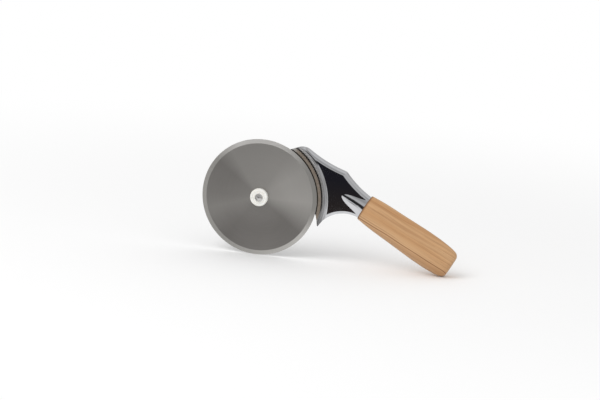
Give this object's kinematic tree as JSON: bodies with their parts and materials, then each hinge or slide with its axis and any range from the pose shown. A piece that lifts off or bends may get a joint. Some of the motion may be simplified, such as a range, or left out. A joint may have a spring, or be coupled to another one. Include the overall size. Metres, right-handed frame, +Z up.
{
  "type": "pizza cutter wheel",
  "caption": "Hand-held pizza cutter: a bevelled steel wheel on a nylon hub, a chromed crescent head behind it and an oval oak handle.",
  "frame": {"origin": "under the middle of the cutter, on the level of its lowest points, which are the blade's rim and the lower corner of the handle's butt", "axes": "+X from the wheel towards the handle, +Z up in the blade's plane, +Y out of the closed back, away from the open face that shows the hub"},
  "size_m": [0.224, 0.0208, 0.1],
  "materials": {
    "blade_steel": "fine circular brushing, ground bevel at the edge",
    "nylon": "smooth, off white",
    "chromed_zinc": "bright chrome plating over a cast body",
    "polished_steel": "polished dome",
    "washer_steel": "punched and tumbled",
    "turned_steel": "turned",
    "brass": "turned",
    "oak": "satin oiled, grain along the handle"
  },
  "bodies": {
    "head": {"head_casting": "chromed_zinc", "axle_sleeve": "turned_steel", "axle_rivet": "polished_steel", "rivet_washer": "washer_steel", "tang_stud": "turned_steel", "handle_insert": "brass", "index_pin": "turned_steel", "handle": "oak"},
    "wheel": {"blade": "blade_steel", "hub_bush": "nylon", "hub_washer": "nylon"}
  },
  "joints": [
    {"name": "wheel_spin", "type": "hinge", "parent": "head", "child": "wheel", "pos_m": [-0.06203, 0, 0.05], "axis": [0, 1, 0], "continuous": true}
  ]
}
